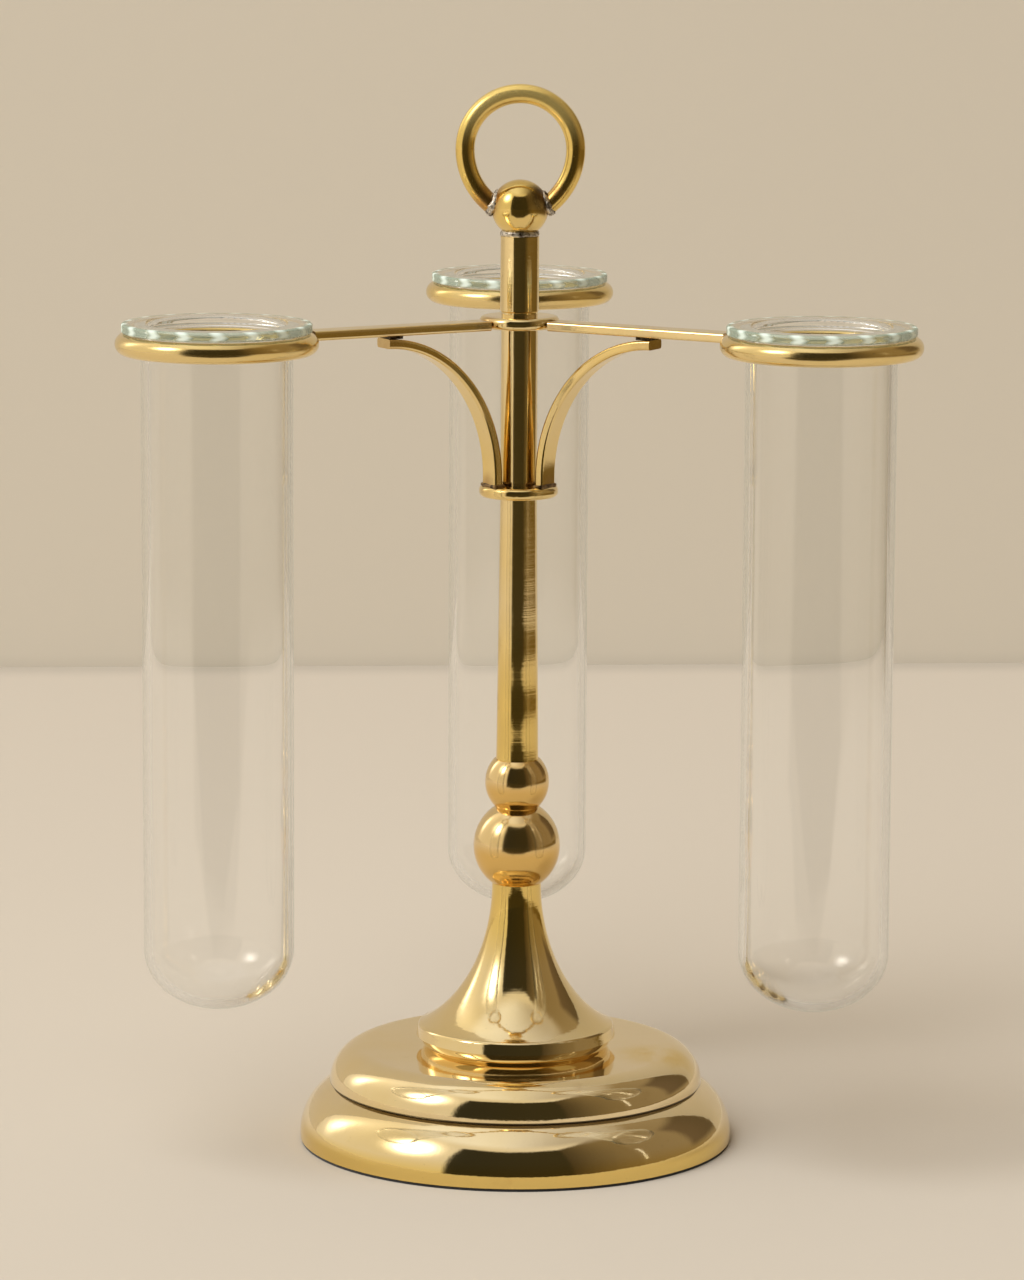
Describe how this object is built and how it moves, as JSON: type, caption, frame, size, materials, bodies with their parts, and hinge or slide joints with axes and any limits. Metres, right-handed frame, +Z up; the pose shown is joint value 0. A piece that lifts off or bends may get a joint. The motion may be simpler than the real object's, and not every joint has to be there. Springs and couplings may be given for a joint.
{
  "type": "flower tube table stand",
  "caption": "Free-standing turned brass stand whose flat-bar arms carry wire rings holding lift-out round-bottomed glass flower tubes, with a finger ring on top for carrying it.",
  "frame": {"origin": "centre of the felt pad's underside, on the column's axis at table level", "axes": "+Z up along the column, -Y towards the front between the two nearer tubes, +X to the right"},
  "size_m": [0.2046, 0.1842, 0.2801],
  "materials": {
    "brass": "polished, lightly tarnished",
    "glass": "clear",
    "felt": "matte felt",
    "iron": "rough cast",
    "steel": "plain",
    "solder": "dull solder"
  },
  "bodies": {
    "stand": {"felt_pad": "felt", "base_ballast": "iron", "base_washer": "steel", "base_nut": "steel", "tie_rod": "steel", "bracket_solder": "solder", "finial_solder": "solder", "base_foot": "brass", "bell_column": "brass", "large_bead": "brass", "small_bead": "brass", "stem": "brass", "bracket_collar": "brass", "arm_collar": "brass", "upper_sleeve": "brass", "finial_ball": "brass", "lift_ring": "brass", "bracket_left": "brass", "arm_left": "brass", "tube_ring_left": "brass", "bracket_right": "brass", "arm_right": "brass", "tube_ring_right": "brass", "bracket_rear": "brass", "arm_rear": "brass", "tube_ring_rear": "brass"},
    "tube_left": {"glass_tube_left": "glass"},
    "tube_right": {"glass_tube_right": "glass"},
    "tube_rear": {"glass_tube_rear": "glass"}
  },
  "joints": [
    {"name": "tube_lift_left", "type": "slide", "parent": "stand", "child": "tube_left", "axis": [0, 0, 1], "range_m": [0, 0.185]},
    {"name": "tube_lift_right", "type": "slide", "parent": "stand", "child": "tube_right", "axis": [0, 0, 1], "range_m": [0, 0.185]},
    {"name": "tube_lift_rear", "type": "slide", "parent": "stand", "child": "tube_rear", "axis": [0, 0, 1], "range_m": [0, 0.185]}
  ]
}
